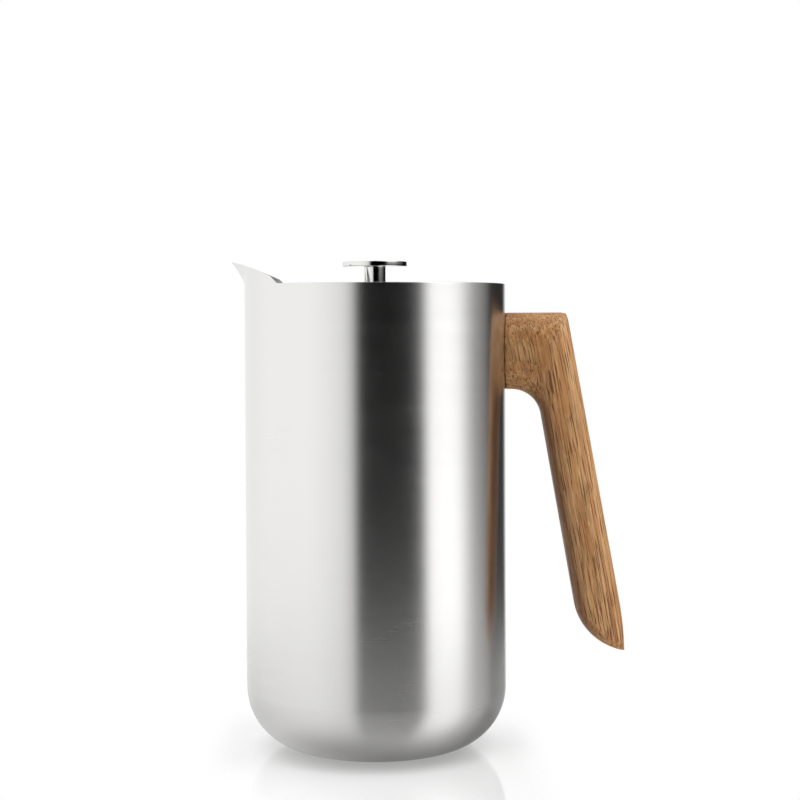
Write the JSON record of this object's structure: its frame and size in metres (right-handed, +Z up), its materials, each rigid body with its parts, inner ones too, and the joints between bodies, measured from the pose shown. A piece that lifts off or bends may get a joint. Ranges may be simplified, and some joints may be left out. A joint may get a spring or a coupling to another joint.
{
  "type": "french press",
  "caption": "Double-walled steel French press: rounded base, pouring beak, angled wooden handle, turning lid cover, T-shaped knob and push-down plunger with a mesh filter.",
  "frame": {"origin": "on the vessel's axis, in the plane of the ring face that it stands on", "axes": "+Z up along the vessel's axis, -X towards the pouring beak, +X towards the handle, plunger fully pressed"},
  "size_m": [0.1634, 0.108, 0.2017],
  "materials": {
    "brushed_body": "fine brushed stainless steel, satin",
    "satin_inside": "drawn stainless steel, satin",
    "brushed_cover": "circular brushed stainless steel",
    "pressed_steel": "pressed stainless sheet",
    "polished_steel": "polished stainless steel",
    "spring_wire": "drawn stainless wire",
    "wire_cloth": "woven stainless wire cloth",
    "oak": "oiled oak, open pores",
    "black_plastic": "moulded, fine matt texture",
    "grey_silicone": "soft silicone, matt",
    "white_plastic": "slippery plastic ring"
  },
  "bodies": {
    "vessel": {"outer_shell": "brushed_body", "base_plate": "brushed_body", "inner_shell": "satin_inside", "handle_grip": "oak", "handle_plug": "oak", "handle_bracket": "satin_inside", "handle_screw": "polished_steel", "handle_washer": "polished_steel"},
    "lid": {"lid_insert": "black_plastic", "lid_seal": "grey_silicone", "glide_washer": "white_plastic", "guide_bush": "polished_steel", "bush_washer": "polished_steel", "bush_nut": "polished_steel"},
    "cover": {"lid_cover": "brushed_cover"},
    "wiper": {"rod_seal": "grey_silicone"},
    "plunger": {"knob": "polished_steel", "plunger_rod": "polished_steel", "rod_collar": "polished_steel", "spring_plate": "pressed_steel", "edge_spring": "spring_wire", "filter_mesh": "wire_cloth", "cross_plate": "pressed_steel", "filter_nut": "polished_steel"}
  },
  "joints": [
    {"name": "lid_lift", "type": "slide", "parent": "vessel", "child": "lid", "axis": [0, 0, 1], "range_m": [0, 0.19]},
    {"name": "cover_turn", "type": "hinge", "parent": "lid", "child": "cover", "pos_m": [0, 0, 0.19], "axis": [0, 0, 1], "continuous": true},
    {"name": "plunger_turn", "type": "hinge", "parent": "lid", "child": "wiper", "pos_m": [0, 0, 0.19], "axis": [0, 0, 1], "continuous": true},
    {"name": "plunger_slide", "type": "slide", "parent": "wiper", "child": "plunger", "axis": [0, 0, 1], "range_m": [0, 0.133]}
  ]
}
